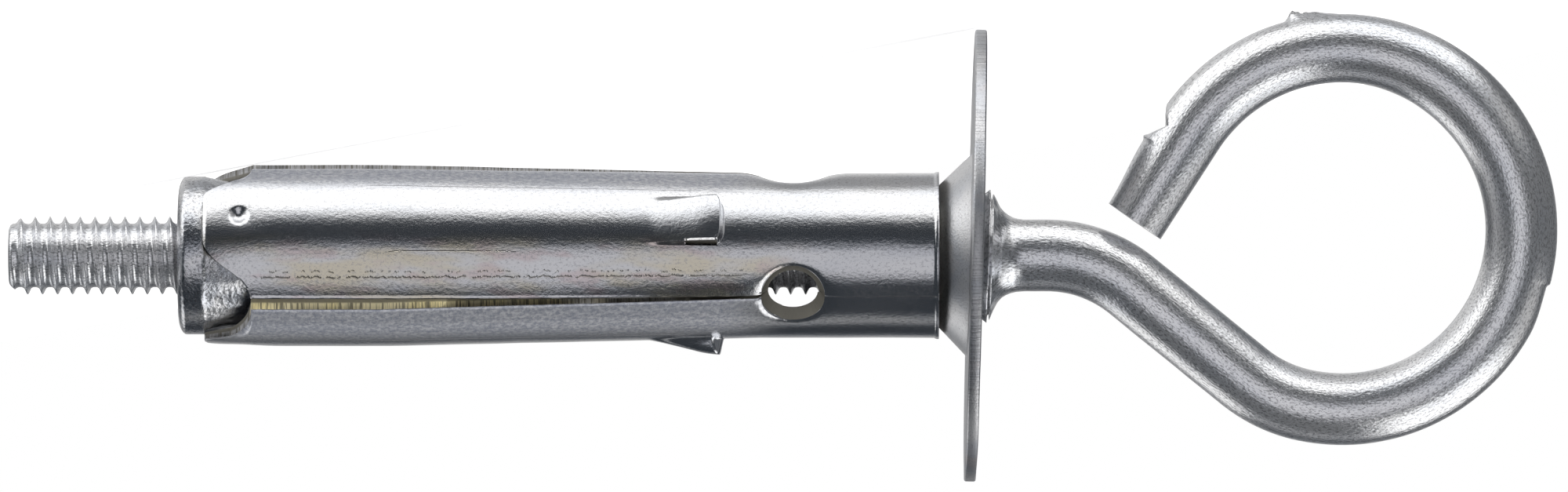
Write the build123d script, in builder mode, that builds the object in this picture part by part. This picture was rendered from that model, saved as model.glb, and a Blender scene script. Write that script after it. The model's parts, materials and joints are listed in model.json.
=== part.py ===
from build123d import *
from math import atan, atan2, cos, degrees, radians, sin, sqrt, tan
import os

# Every piece is drawn about the X axis, which runs along the anchor to the eye.
# X = 0 is the washer's wall face, Y points to the floor once the anchor lies down, Z to its side.
# Lengths are in mm and angles in degrees. Turns about the anchor start from its side.

# Bent wire bolt
wire_radius = 2.4
thread_radius = 2.62
tip_reach = 64.2
tip_bevel = 0.45
thread_end = 6.5
thread_runout = 0.8
collar_face = 1.25
collar_radius = 4.66
collar_rim = 0.2
collar_flare = 2.0

# Eye, drawn in the plane Z = 0
ring_radius = 12.0
ring_reach = 24.9
ring_offset = 1.73
neck_slope = 39.0
neck_bend = 9.0
neck_inset = 0.25
entry_bend = 6.0
tail_turn = 147.0
tail_length = 7.15
tail_slant = 1.5
bite_depth = 0.75
bite_length = 1.6
bite_turn = 149.5

# Dished washer
washer_radius = 15.1
washer_thickness = 0.79
dish_radius = 6.8
dish_bend = 0.7
washer_hole = 2.9

# Expansion sleeve, rolled from one sheet
sheet = 0.73
mouth_radius = 5.5
leg_radius = 6.05
sleeve_end = 51.0
taper_start = 14.0
taper_end = 39.0
leg_count = 3
first_slit = 30.0
burr_side_start = 0.06
burr_side_end = 0.28
roll_side_start = 0.1
roll_side_end = 0.92
roll_foot_start = 0.06
roll_foot_end = 0.2
relief_place = 11.8
relief_radius = 2.1
notch_length = 3.25
notch_spread = 43.0
shoulder_place = 49.5
shoulder_half = 1.85
seam_gap = 0.14
lip_height = 0.06
lip_length = 0.3
seat_gap = 0.02

# Pressed nose on each leg, highest towards the washer
nose_start = 21.4
nose_end = 16.4
nose_height = 1.08
nose_top = 0.9
nose_arc = 34.0
nose_shift = 6.0
nose_wall = 0.5
nose_edge = 0.3
tear_length = 1.7
tear_width = 0.22
tear_place = 18.9

# Punched mark that holds the nut
mark_place = 48.7
mark_shift = 3.0
mark_radius = 0.72
mark_depth = 0.28

# Cone nut
nut_gap = 0.05
head_face = 52.85
head_length = 1.85
head_dome = 0.9
head_flat = 3.0
nut_length = 14.2
nut_tail_radius = 4.25
bore_radius = 2.67
bore_bevel = 0.35

# Places that follow from the sizes above
mouth_inner = mouth_radius - sheet
mouth_place = dish_radius - mouth_inner + seat_gap * sqrt(2)
head_radius = leg_radius - sheet - nut_gap
cone_slope = (head_radius - nut_tail_radius) / (nut_length - head_length)
cone_at_mark = head_radius - cone_slope * (head_face - head_length - mark_place)
mark_tip = cone_at_mark + nut_gap
leg_turn = 360 / leg_count
slits = [first_slit + leg_turn * i for i in range(leg_count)]
legs = [turn + leg_turn / 2 for turn in slits]



# One side of the notch at a slit: the leg's corner is cut back in an S to its straight end
def notch_side(near, way):
    places = [
        (notch_length - sleeve_end, way * near),
        (-shoulder_place, way * shoulder_half),
        (-sleeve_end, way * leg_radius * sin(radians(notch_spread))),
    ]
    return Edge.make_spline(places, tangents=[(0, way), (0, way)])


burr_notch = notch_side(burr_side_end, 1)
roll_notch = notch_side((roll_side_end + roll_foot_end) / 2, -1)

# The anchor rests on the washer's rim and on the shoulders of the two legs beside one slit
steps = [i / 200 for i in range(201)]
shoulders = burr_notch.positions(steps) + roll_notch.positions(steps)
rest_tilt = min(
    atan((washer_radius - sqrt(leg_radius**2 - p.Y**2)) / -p.X) for p in shoulders
)
left_end = tip_reach * cos(rest_tilt) + (thread_radius - tip_bevel) * sin(rest_tilt)
right_end = (
    ring_reach * cos(rest_tilt) + ring_offset * sin(rest_tilt) + ring_radius + wire_radius
)
lie = Plane(
    origin=((left_end - right_end) / 2, 0, washer_radius * cos(rest_tilt)),
    x_dir=(cos(rest_tilt), 0, sin(rest_tilt)),
    z_dir=(0, 1, 0),
).location


# A plane on the axis that faces outwards at this turn
def facing(turn):
    return Plane.XY.rotated((turn, 0, 0))


# A place on the leg or the tube at this turn, Z outwards
def spot(turn, along, out):
    return facing(turn).location * Location((along, 0, out))


# Radius of the sleeve's outside between the mouth and the legs' straight ends
def outside(along):
    share = (along - taper_start) / (taper_end - taper_start)
    return mouth_radius + (leg_radius - mouth_radius) * min(max(share, 0), 1)


# A small arc as a few straight steps
def stepped(start, middle, end, count):
    arc = Edge.make_three_point_arc(Vector(*start), Vector(*middle), Vector(*end))
    return arc.positions([i / count for i in range(count + 1)])


# Bolt: threaded end, wire and upset collar turned in one profile
with BuildPart() as eye_bolt:
    with BuildSketch(Plane.XY):
        with BuildLine():
            Polyline(
                (0, 0),
                (-tip_reach, 0),
                (-tip_reach, thread_radius - tip_bevel),
                (-tip_reach + tip_bevel, thread_radius),
                (-thread_end - thread_runout, thread_radius),
                (-thread_end, wire_radius),
                (collar_face, wire_radius),
                (collar_face, collar_radius),
                (collar_face + collar_rim, collar_radius),
            )
            flare_way = (
                collar_face + collar_rim + collar_flare * 0.28,
                wire_radius + (collar_radius - wire_radius) * 0.36,
            )
            flare_end = (collar_face + collar_rim + collar_flare, wire_radius)
            Polyline(
                *stepped((collar_face + collar_rim, collar_radius), flare_way, flare_end, 3)
            )
            Polyline(flare_end, (flare_end[0], 0), (0, 0))
        make_face()
    revolve(axis=Axis.X)

    # The wire leaves the axis in one bend, runs straight and enters the ring with a tighter bend
    slope = radians(neck_slope)
    line_gap = ring_radius - neck_inset
    bend_place = (
        ring_reach
        - neck_bend * sin(slope)
        - (line_gap + (neck_bend * (cos(slope) - 1) - ring_offset) * cos(slope)) / sin(slope)
    )
    bend_end = (
        bend_place + neck_bend * sin(slope),
        neck_bend * (cos(slope) - 1),
    )
    entry_shift = sqrt((ring_radius - entry_bend) ** 2 - (line_gap - entry_bend) ** 2)
    entry_turn = degrees(atan2(entry_shift, line_gap - entry_bend))
    entry_centre = (
        ring_reach - (line_gap - entry_bend) * sin(slope) + entry_shift * cos(slope),
        ring_offset - (line_gap - entry_bend) * cos(slope) - entry_shift * sin(slope),
    )
    entry_start = 270 - neck_slope
    ring_start = entry_start + entry_turn
    tail = radians(tail_turn)
    tail_start = Vector(
        ring_reach + ring_radius * cos(tail), ring_offset + ring_radius * sin(tail)
    )
    tail_way = Vector(-sin(tail), cos(tail))
    with BuildLine(Plane.XY) as wire_path:
        Line((collar_face, 0), (bend_place, 0))
        CenterArc((bend_place, -neck_bend), neck_bend, 90, -neck_slope)
        Line(
            bend_end,
            (
                entry_centre[0] - entry_bend * sin(slope),
                entry_centre[1] - entry_bend * cos(slope),
            ),
        )
        CenterArc(entry_centre, entry_bend, entry_start, entry_turn)
        CenterArc(
            (ring_reach, ring_offset), ring_radius, ring_start, 360 + tail_turn - ring_start
        )
        Line(tail_start, tail_start + tail_way * tail_length)
    with BuildSketch(Plane((collar_face, 0, 0), z_dir=(1, 0, 0))):
        Circle(wire_radius)
    sweep(path=wire_path.wires()[0])

    # The tail is cropped a little askew, by a cut too short to reach the neck
    tail_end = tail_start + tail_way * (tail_length - wire_radius * tan(radians(tail_slant)))
    crop = Plane(tail_end, z_dir=tail_way.rotate(Axis.Z, -tail_slant))
    with BuildSketch(crop):
        Circle(1.5 * wire_radius)
    extrude(amount=wire_radius / 4, mode=Mode.SUBTRACT)

    # Bite of the bending tool across the outside of the ring, deep at one end
    with BuildSketch(Plane.XY):
        with Locations(Plane.XY):
            with Locations(Location((ring_reach, ring_offset), bite_turn)):
                with Locations((ring_radius + wire_radius - bite_depth, 0)):
                    Polygon(
                        (0, 0),
                        (bite_depth + 0.3, 0),
                        (bite_depth + 0.3, bite_length),
                        (bite_depth, bite_length),
                        align=None,
                    )
    extrude(amount=wire_radius, both=True, mode=Mode.SUBTRACT)

# Washer: flat rim and a dish at 45 degrees that seats in the sleeve's mouth
with BuildPart() as washer:
    with BuildSketch(Plane.XY):
        with BuildLine():
            Polyline(
                (0, washer_radius),
                (0, dish_radius),
                (washer_hole - dish_radius, washer_hole),
                (washer_hole - dish_radius + washer_thickness * sqrt(2), washer_hole),
                (washer_thickness, dish_radius - washer_thickness * tan(radians(22.5))),
                (washer_thickness, washer_radius),
                close=True,
            )
        make_face()
        bend = vertices().filter_by(lambda v: v.X > 0 and v.Y < dish_radius)
        chamfer(bend.sort_by(Axis.Y)[-1], dish_bend * tan(radians(22.5)))
    revolve(axis=Axis.X)

# Nose pressed out of a leg, with its top edges broken, and the hollow under it
with BuildPart() as nose:
    with BuildSketch(Plane.XZ):
        Polygon(
            (-nose_start, outside(nose_start) - sheet / 2),
            (-nose_start, outside(nose_start)),
            (-nose_end - nose_top, outside(nose_end) + nose_height),
            (-nose_end, outside(nose_end) + nose_height),
            (-nose_end, outside(nose_end) - sheet / 2),
            align=None,
        )
    revolve(axis=Axis.X, revolution_arc=nose_arc)
    top = faces().sort_by_distance((-nose_end - nose_top / 2, 0, 2 * leg_radius))[0]
    chamfer(top.edges(), nose_edge)

with BuildPart() as hollow:
    with BuildSketch(Plane.XZ):
        Polygon(
            (-nose_start, outside(nose_start) - 2 * sheet),
            (-nose_start, outside(nose_start) - nose_wall),
            (-nose_end - nose_top, outside(nose_end) + nose_height - nose_wall),
            (-nose_end - nose_wall, outside(nose_end) + nose_height - nose_wall),
            (-nose_end - nose_wall, outside(nose_end) - 2 * sheet),
            align=None,
        )
    hollow_arc = nose_arc - 2 * degrees(nose_wall / mouth_radius)
    revolve(axis=Axis.X, revolution_arc=hollow_arc)

with BuildPart() as expansion_sleeve:
    with BuildSketch(Plane.XY):
        with BuildLine():
            Polyline(
                (-mouth_place, mouth_inner),
                (-mouth_place, mouth_radius + lip_height),
                (-mouth_place - lip_length / 2, mouth_radius + lip_height),
                (-mouth_place - lip_length, mouth_radius),
                (-taper_start, mouth_radius),
                (-taper_end, leg_radius),
                (-sleeve_end, leg_radius),
                (-sleeve_end, leg_radius - sheet),
                (-taper_end, leg_radius - sheet),
                (-taper_start, mouth_inner),
                close=True,
            )
        make_face()
    revolve(axis=Axis.X)

    for turn in legs:
        nose_turn = turn + nose_shift
        with Locations(facing(nose_turn - nose_arc / 2).location):
            add(nose.part)
        with Locations(facing(nose_turn - hollow_arc / 2).location):
            add(hollow.part, mode=Mode.SUBTRACT)

        # Tear along the nose's side, where the sheet was stretched most
        tear_turn = nose_turn + hollow_arc / 2
        with BuildSketch(facing(tear_turn)):
            with Locations((-tear_place, 0)):
                SlotOverall(tear_length, tear_width)
        extrude(amount=2 * mouth_radius, mode=Mode.SUBTRACT)

        # Punched mark: a bulge inside that touches the nut, a dent outside
        middle = leg_radius - sheet / 2
        mark_turn = turn + mark_shift
        with Locations(spot(mark_turn, -mark_place, (mark_tip + middle) / 2)):
            Cone(mark_radius / 3, mark_radius, middle - mark_tip)
        with Locations(spot(mark_turn, -mark_place, leg_radius)):
            Cone(mark_radius / 3, mark_radius * 5 / 3, 2 * mark_depth, mode=Mode.SUBTRACT)

    for turn in slits:
        # Relief hole at the slit's closed end
        with BuildSketch(facing(turn)):
            with Locations((-relief_place, 0)):
                Circle(relief_radius)
        extrude(amount=2 * mouth_radius, mode=Mode.SUBTRACT)

        # Sheared slit, wider as the legs spread: one wall is square with a burr, and the other
        # slopes in from a rolled edge
        for along, share in ((relief_place, 0), (taper_end, 1), (sleeve_end + 1, 1)):
            burr = burr_side_start + (burr_side_end - burr_side_start) * share
            roll = roll_side_start + (roll_side_end - roll_side_start) * share
            foot = roll_foot_start + (roll_foot_end - roll_foot_start) * share
            rim = sqrt(outside(along) ** 2 - roll**2)
            land = rim - 0.85 * sheet
            above = rim + sheet
            wide = foot + (roll - foot) * (above - land) / (rim - land)
            section = facing(turn).location * Location((-along, 0, 0), (0, 90, 0))
            with BuildSketch(Plane(section)):
                Polygon(
                    (-above, burr),
                    (-above, -wide),
                    (-land, -foot),
                    (-land + 2 * sheet, -foot),
                    (-land + 2 * sheet, burr),
                    align=None,
                )
        loft(ruled=True, mode=Mode.SUBTRACT)

        # Notch between the legs' ends
        far = -sleeve_end - 1
        with BuildSketch(facing(turn)):
            with BuildLine():
                add(burr_notch)
                add(roll_notch)
                Line(burr_notch @ 0, roll_notch @ 0)
                Polyline(
                    burr_notch @ 1,
                    (far, (burr_notch @ 1).Y),
                    (far, (roll_notch @ 1).Y),
                    roll_notch @ 1,
                )
            make_face()
        extrude(amount=2 * mouth_radius, mode=Mode.SUBTRACT)

    # Butt seam of the rolled sheet, from one relief hole to the mouth
    with BuildSketch(facing(slits[-1])):
        with Locations((-relief_place / 2, 0)):
            Rectangle(relief_place, seam_gap)
    extrude(amount=2 * mouth_radius, mode=Mode.SUBTRACT)

# Nut with a domed head and a long cone that spreads the legs
with BuildPart() as cone_nut:
    nut_end = nut_length - head_face
    with BuildSketch(Plane.XY):
        with BuildLine():
            dome_way = (-head_face + head_dome * 0.3, head_radius - head_dome * 0.45)
            dome_end = (-head_face + head_dome, head_radius)
            Polyline(*stepped((-head_face, head_flat), dome_way, dome_end, 2))
            Polyline(
                (-head_face + head_dome, head_radius),
                (-head_face + head_length, head_radius),
                (nut_end, nut_tail_radius),
                (nut_end, bore_radius + bore_bevel),
                (nut_end - bore_bevel, bore_radius),
                (-head_face + bore_bevel, bore_radius),
                (-head_face, bore_radius + bore_bevel / 2),
                (-head_face, head_flat),
            )
        make_face()
    revolve(axis=Axis.X)

os.makedirs("parts", exist_ok=True)
pieces = {
    "eye_bolt": eye_bolt,
    "washer": washer,
    "expansion_sleeve": expansion_sleeve,
    "cone_nut": cone_nut,
}
for name, piece in pieces.items():
    laid = piece.part.moved(lie)
    laid.label = name
    export_step(laid, f"parts/{name}.step")
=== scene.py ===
import json
from math import asin, atan2, ceil, cos, degrees, exp, pi, radians, sin, sqrt, tan

import bmesh
import bpy
from mathutils import Matrix, Vector, noise
from mathutils.geometry import interpolate_bezier


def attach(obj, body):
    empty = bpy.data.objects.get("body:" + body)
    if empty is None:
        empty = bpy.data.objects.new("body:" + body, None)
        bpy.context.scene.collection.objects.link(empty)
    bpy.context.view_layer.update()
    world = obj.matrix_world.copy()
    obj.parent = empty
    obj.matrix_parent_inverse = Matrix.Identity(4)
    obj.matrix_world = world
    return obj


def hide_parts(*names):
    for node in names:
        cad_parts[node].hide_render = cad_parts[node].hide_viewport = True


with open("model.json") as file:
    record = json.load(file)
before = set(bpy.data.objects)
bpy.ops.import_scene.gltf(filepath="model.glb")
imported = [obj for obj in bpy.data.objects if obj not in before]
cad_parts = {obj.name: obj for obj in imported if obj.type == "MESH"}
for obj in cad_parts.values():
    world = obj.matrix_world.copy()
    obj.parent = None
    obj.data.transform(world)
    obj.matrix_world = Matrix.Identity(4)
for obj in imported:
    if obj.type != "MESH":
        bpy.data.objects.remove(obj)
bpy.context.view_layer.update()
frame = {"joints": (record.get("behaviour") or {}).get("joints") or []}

# Pieces are made in mm about the X axis, as the part is drawn: X = 0 is the washer's wall face,
# the eye lies in the plane Z = 0 and the photo is taken from +Z. lie then puts them where the
# frame says.
eyeTurn = next(joint for joint in frame["joints"] if joint["name"] == "eye_turn")
along = Vector(eyeTurn["axis"]).normalized()
down = Vector((along.z, 0, -along.x))
lie = (
    Matrix.Translation(Vector(eyeTurn["pos_m"]))
    @ Matrix((along, down, along.cross(down))).transposed().to_4x4()
    @ Matrix.Scale(0.001, 4)
)
mergeDistance = 0.0005  # points closer than this are one
cutDistance = 0.0001


def smooth(share):  # eased step from 0 to 1
    share = min(max(share, 0.0), 1.0)
    return share * share * (3 - 2 * share)


def rise(value, start, end):  # eased step of a value between two places
    return smooth((value - start) / (end - start))


def hill(distance, width):  # soft bump, 1 at its middle
    return exp(-((distance / width) ** 2))


def spread(start, end, step):  # evenly spaced places, both ends in
    count = max(1, ceil(abs(end - start) / step))
    return [start + (end - start) * i / count for i in range(count + 1)]


def places(*runs):  # several spreads in one rising list
    every = sorted(place for run in runs for place in run)
    kept = [every[0]]
    for place in every[1:]:
        if place - kept[-1] > 0.008:
            kept.append(place)
    return kept


# Finishes: one node tree each, with shader maths as expressions on Value


class Value:  # a socket that can be used in arithmetic
    def __init__(self, finish, socket):
        self.finish = finish
        self.socket = socket

    def math(self, operation, *others, swap=False, clamp=False):
        parts = [self, *others]
        if swap:
            parts.reverse()
        settings = {"operation": operation, "use_clamp": clamp}
        return self.finish.node("ShaderNodeMath", settings, dict(enumerate(parts)))

    def __add__(self, other):
        return self.math("ADD", other)

    def __sub__(self, other):
        return self.math("SUBTRACT", other)

    def __rsub__(self, other):
        return self.math("SUBTRACT", other, swap=True)

    def __mul__(self, other):
        return self.math("MULTIPLY", other)

    def __abs__(self):
        return self.math("ABSOLUTE")

    __radd__ = __add__
    __rmul__ = __mul__

    def held(self):  # kept between 0 and 1
        return self.math("ADD", 0.0, clamp=True)

    def most(self, other):
        return self.math("MAXIMUM", other)

    def between(self, low, high):  # eased mask that rises from low to high
        settings = {"interpolation_type": "SMOOTHSTEP"}
        return self.finish.node("ShaderNodeMapRange", settings, {0: self, 1: low, 2: high})

    def near(self, middle, width):  # eased mask, 1 at middle and 0 a width away
        return 1 - abs(self - middle).between(0.0, width)


class Finish:  # a metal finish and its nodes
    def __init__(self, name):
        self.material = bpy.data.materials.new(name)
        self.material.use_nodes = True
        self.tree = self.material.node_tree
        self.shader = self.tree.nodes["Principled BSDF"]
        self.put("Metallic", 1.0)

    def node(self, kind, settings=None, inputs=None, out=0):
        made = self.tree.nodes.new(kind)
        for key, setting in (settings or {}).items():
            setattr(made, key, setting)
        for key, given in (inputs or {}).items():
            self.feed(made.inputs[key], given)
        return Value(self, made.outputs[out])

    def feed(self, socket, given):
        if isinstance(given, Value):
            self.tree.links.new(given.socket, socket)
        elif isinstance(given, tuple) and len(given) == 3 and socket.type == "RGBA":
            socket.default_value = (*given, 1)
        else:
            socket.default_value = given

    def put(self, socket, given):
        self.feed(self.shader.inputs[socket], given)

    def coords(self):
        return self.node("ShaderNodeTexCoord", out="Object")

    def layer(self, name):  # the piece's own flat measures in mm, as a vector
        return self.node("ShaderNodeUVMap", {"uv_map": name})

    def stretched(self, vector, scale, shift=(0, 0, 0)):
        return self.node("ShaderNodeMapping", None, {0: vector, "Location": shift, "Scale": scale})

    def split(self, vector, axis):
        return self.node("ShaderNodeSeparateXYZ", None, {0: vector}, out=axis)

    def noise(self, vector, scale, detail=2.0, roughness=0.5):
        inputs = {"Vector": vector, "Scale": scale, "Detail": detail, "Roughness": roughness}
        return self.node("ShaderNodeTexNoise", None, inputs, out="Fac")

    def cells(self, vector, scale):
        inputs = {"Vector": vector, "Scale": scale}
        return self.node("ShaderNodeTexVoronoi", None, inputs, out="Distance")

    def blend(self, factor, first, second):
        settings = {"data_type": "RGBA"}
        return self.node("ShaderNodeMix", settings, {0: factor, 6: first, 7: second}, out=2)

    def bump(self, height, depth, strength=1.0, under=None):
        inputs = {"Strength": strength, "Distance": depth, "Height": height}
        if under:
            inputs["Normal"] = under
        return self.node("ShaderNodeBump", None, inputs)


zinc = {
    "plain": (0.78, 0.78, 0.79),
    "cool": (0.64, 0.66, 0.70),
    "drawnPlain": (0.88, 0.88, 0.89),
    "drawnCool": (0.75, 0.77, 0.81),
    "straw": (0.78, 0.70, 0.52),
    "rose": (0.70, 0.58, 0.58),
    "blush": (0.78, 0.70, 0.66),
    "dull": (0.42, 0.42, 0.43),
    "mottledShade": (0.30, 0.32, 0.38),
    "speck": (0.30, 0.30, 0.31),
    "pit": (0.26, 0.26, 0.28),
    "bar": (0.34, 0.34, 0.35),
    "crack": (0.16, 0.14, 0.13),
    "bare": (0.46, 0.46, 0.47),
    "golden": (0.90, 0.78, 0.42),
    "shearBarsAndShade": (0.13, 0.12, 0.09),
    "mm": 1000.0,  # object coordinates are metres
}


def wireFinish():  # drawn wire: fine grains pulled long, and faint draw lines
    finish = Finish("brightZincWire")
    flat = finish.layer("drawn")
    grain = finish.noise(finish.stretched(flat, (2.8, 6.5, 1)), 1.0, 3.0, 0.75)
    flakes = finish.cells(finish.stretched(flat, (2.6, 6.0, 1), (2, 5, 0)), 1.0)
    lines = finish.noise(finish.stretched(flat, (0.12, 7.0, 1)), 1.0, 2.0, 0.6)
    broad = finish.noise(finish.stretched(flat, (0.10, 0.28, 1), (3, 8, 0)), 1.0, 2.0, 0.5)
    tint = finish.blend(broad.between(0.40, 0.70), zinc["drawnPlain"], zinc["drawnCool"])
    specks = finish.noise(finish.stretched(flat, (4.0, 8.0, 1), (7, 1, 0)), 1.0, 2.0, 0.7)
    tint = finish.blend(specks.between(0.52, 0.60) * 0.65, tint, zinc["speck"])
    finish.put("Base Color", tint)
    finish.put("Metallic", 0.88)
    finish.put("Roughness", 0.07 + grain * 0.13 + broad * 0.04)
    low = finish.bump(lines + broad, 0.00001, 0.5)
    finish.put("Normal", finish.bump(grain + flakes * 0.5, 0.00002, 1.0, low))
    return finish.material


# Wear and painted shade on each leg: turns from its middle in degrees and places in mm, with two
# values where it starts or ends softly
legWearAndShade = {
    "stainTurns": (12.0, 24.0),
    "stainEnd": (-15.0, -10.0),
    # the drawn side, mottled and darkened as painted shade
    "drawnShadeTurns": (-34.0, -12.0),
    "drawnShadeEnd": (-17.0, -12.0),
    "crackTurn": 43.8,
    "innerCrackTurn": 40.2,
    "crackStart": (-48.0, -46.5),
    "crackEnd": (-16.0, -14.5),
    "scratchTurn": 27.2,
    "scratchStart": (-39.0, -37.5),
    "scratchEnd": (-31.5, -30.0),
    "creaseTurn": -20.5,
    "creaseStart": (-40.5, -39.0),
    "creaseEnd": (-19.0, -17.5),
    "goldenStart": (-48.1, -47.8),
    "goldenFade": (-36.0, -22.0),
    "goldenEnd": (-24.0, -17.0),
    "restWall": (-6.0, -3.0),  # mm across the blank: past here is the wall at the rest slit
    # past here every cut wall is darkened as painted shade, as the slits are narrow there
    "narrowSlitShadeStart": (-20.4, -19.4),
}


def sleeveFinish():  # rolled sheet: pebbled, stained where it was bent, cracked beside the slits
    finish = Finish("brightZincSheet")
    flat = finish.layer("blank")
    place = finish.split(flat, 0)
    own = finish.split(finish.layer("own"), 0)
    grain = finish.noise(finish.stretched(flat, (4.2, 5.4, 1)), 1.0, 3.0, 0.75)
    pebbles = finish.noise(finish.stretched(flat, (2.4, 3.4, 1), (4, 1, 0)), 1.0, 2.0, 0.55)
    ripple = finish.noise(finish.stretched(flat, (0.7, 1.1, 1)), 1.0, 2.0, 0.5)
    broad = finish.noise(finish.stretched(flat, (0.13, 0.45, 1), (5, 2, 0)), 1.0, 3.0, 0.5)
    other = finish.noise(finish.stretched(flat, (0.30, 0.80, 1), (1, 9, 0)), 1.0, 2.0, 0.5)
    flank = own.between(*legWearAndShade["stainTurns"]) * (1 - place.between(*legWearAndShade["stainEnd"]))
    tint = finish.blend(broad.between(0.35, 0.65) * 0.6, zinc["plain"], zinc["cool"])
    tint = finish.blend(flank * broad.between(0.42, 0.62) * 0.75, tint, zinc["straw"])
    tint = finish.blend(flank * other.between(0.50, 0.66) * 0.6, tint, zinc["rose"])
    tint = finish.blend(grain.between(0.52, 0.62) * 0.45, tint, zinc["dull"])

    # The side of each leg that was drawn down is duller and mottled, and its darker tint is also
    # painted shade that dims the reflection on that side to a grey band
    drawn = 1 - own.between(*legWearAndShade["drawnShadeTurns"])
    drawn = drawn * (1 - place.between(*legWearAndShade["drawnShadeEnd"]))
    mottle = 0.20 + grain.between(0.42, 0.58) * 0.30 + pebbles.between(0.35, 0.60) * 0.40
    # painted shade: the drawn side of each leg is tinted darker, over its real mottling
    tint = finish.blend(drawn * mottle, tint, zinc["mottledShade"])
    finish.put("Metallic", 1 - drawn * 0.4)

    # Fine cracks run along each leg, near its slit, where the sheet was bent
    wander = finish.noise(finish.stretched(flat, (1.5, 0.0, 1), (0, 3, 0)), 1.0, 4.0, 0.7) - 0.5
    broken = finish.noise(finish.stretched(flat, (1.3, 0.2, 1), (6, 6, 0)), 1.0, 2.0, 0.7)
    cracks = (own + wander * 7.0).near(legWearAndShade["crackTurn"], 0.8) * broken.between(0.40, 0.48)
    inner = (own + wander * 9.0).near(legWearAndShade["innerCrackTurn"], 0.6)
    cracks = cracks.most(inner * broken.between(0.52, 0.58) * 0.7)
    cracks = cracks * (1 - place.between(*legWearAndShade["crackEnd"]))
    cracks = cracks * place.between(*legWearAndShade["crackStart"])

    # A short broken scratch on one side of the middle, and a long fine crease on the other
    scratch = (own + wander * 1.2).near(legWearAndShade["scratchTurn"], 0.55) * broken.between(0.36, 0.44)
    scratch = scratch * place.between(*legWearAndShade["scratchStart"])
    scratch = scratch * (1 - place.between(*legWearAndShade["scratchEnd"]))
    crease = (own - wander * 0.4).near(legWearAndShade["creaseTurn"], 0.22)
    crease = crease * place.between(*legWearAndShade["creaseStart"])
    crease = crease * (1 - place.between(*legWearAndShade["creaseEnd"]))
    marks = cracks.most(scratch).most(crease * 0.6)
    finish.put("Base Color", finish.blend(marks * 0.75, tint, zinc["crack"]))
    finish.put("Roughness", 0.09 + grain * 0.12 + broad * 0.04 + marks * 0.3 + drawn * 0.08)
    low = finish.bump(ripple * 0.6 + pebbles * 0.4, 0.00004, 0.45)
    worn = finish.bump(grain, 0.000016, 0.9, low)
    finish.put("Normal", finish.bump(1 - marks, 0.00006, 0.8, worn))
    return finish.material


def shearFinish():  # cut edges of the sheet, barred by the shear and stained golden near the tip, with painted shade on the inner half of each wall and on every wall from the noses' tears to the mouth
    finish = Finish("shearedSheetEdge")
    flat = finish.layer("blank")
    place = finish.split(flat, 0)
    bars = finish.noise(finish.stretched(flat, (6.5, 0.3, 1)), 1.0, 3.0, 0.7)
    broad = finish.noise(flat, 0.3, 2.0)
    deep = finish.split(finish.layer("own"), 1)
    golden = (1 - place.between(*legWearAndShade["goldenFade"])) * 0.7 + broad.between(0.45, 0.60) * 0.4
    golden = golden.held() * place.between(*legWearAndShade["goldenStart"])
    golden = golden * (1 - place.between(*legWearAndShade["goldenEnd"]))
    golden = golden * (1 - finish.split(flat, 1).between(*legWearAndShade["restWall"]))
    tint = finish.blend(golden, zinc["bare"], zinc["golden"])
    # painted shade: the walls past the noses' tears and the inner half of each wall are darkened as
    # if in the narrow slits' shadow; the bars are the shear's own marks
    torn = place.between(*legWearAndShade["narrowSlitShadeStart"])
    barsAndShade = bars.between(0.46, 0.60).most(deep.between(0.45, 0.65)).most(torn)
    finish.put("Base Color", finish.blend(barsAndShade * 0.85, tint, zinc["shearBarsAndShade"]))
    finish.put("Metallic", 0.45)
    finish.put("Roughness", 0.36 + bars * 0.2)
    finish.put("Normal", finish.bump(bars, 0.00005, 0.9))
    return finish.material


def washerFinish():  # pressed disc, matt and speckled, with its rim barred by the punch
    finish = Finish("brightZincWasher")
    spot = finish.stretched(finish.coords(), (zinc["mm"],) * 3)
    flat = finish.layer("disc")
    reach = finish.split(flat, 0)
    grain = finish.noise(spot, 7.0, 3.0, 0.66)
    broad = finish.noise(spot, 0.22, 3.0, 0.5)
    bars = finish.noise(finish.stretched(flat, (0.25, 9.0, 1)), 1.0, 2.0, 0.6)
    rim = reach.between(disc["radius"] - 0.05, disc["radius"] - 0.01)
    patches = finish.noise(finish.stretched(flat, (0.0, 0.09, 1)), 1.0, 1.0)
    barred = rim * patches.between(0.44, 0.58)
    tint = finish.blend(broad.between(0.42, 0.62), zinc["plain"], zinc["cool"])
    tint = finish.blend(broad.between(0.56, 0.70) * 0.6, tint, zinc["blush"])
    tint = finish.blend(grain.between(0.52, 0.66) * 0.5, tint, zinc["dull"])
    tint = finish.blend(barred * bars.between(0.42, 0.62) * 0.6, tint, zinc["bar"])
    finish.put("Base Color", tint)
    finish.put("Roughness", 0.24 + grain * 0.18 + rim * 0.08)
    low = finish.bump(barred * bars, 0.00004, 0.9)
    finish.put("Normal", finish.bump(grain, 0.00002, 0.9, low))
    return finish.material


def nutFinish():  # turned nut: sparkling, pitted plate
    finish = Finish("zincNut")
    spot = finish.stretched(finish.coords(), (zinc["mm"],) * 3)
    grain = finish.noise(spot, 5.5, 3.0, 0.7)
    pits = finish.cells(spot, 3.4)
    broad = finish.noise(spot, 0.5, 2.0)
    tint = finish.blend(broad.between(0.4, 0.62), zinc["plain"], zinc["cool"])
    tint = finish.blend(grain.between(0.52, 0.64) * 0.65, tint, zinc["pit"])
    finish.put("Base Color", tint)
    finish.put("Roughness", 0.10 + grain * 0.15)
    finish.put("Normal", finish.bump(grain + pits * 0.6, 0.000027, 1.0))
    return finish.material


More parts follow.
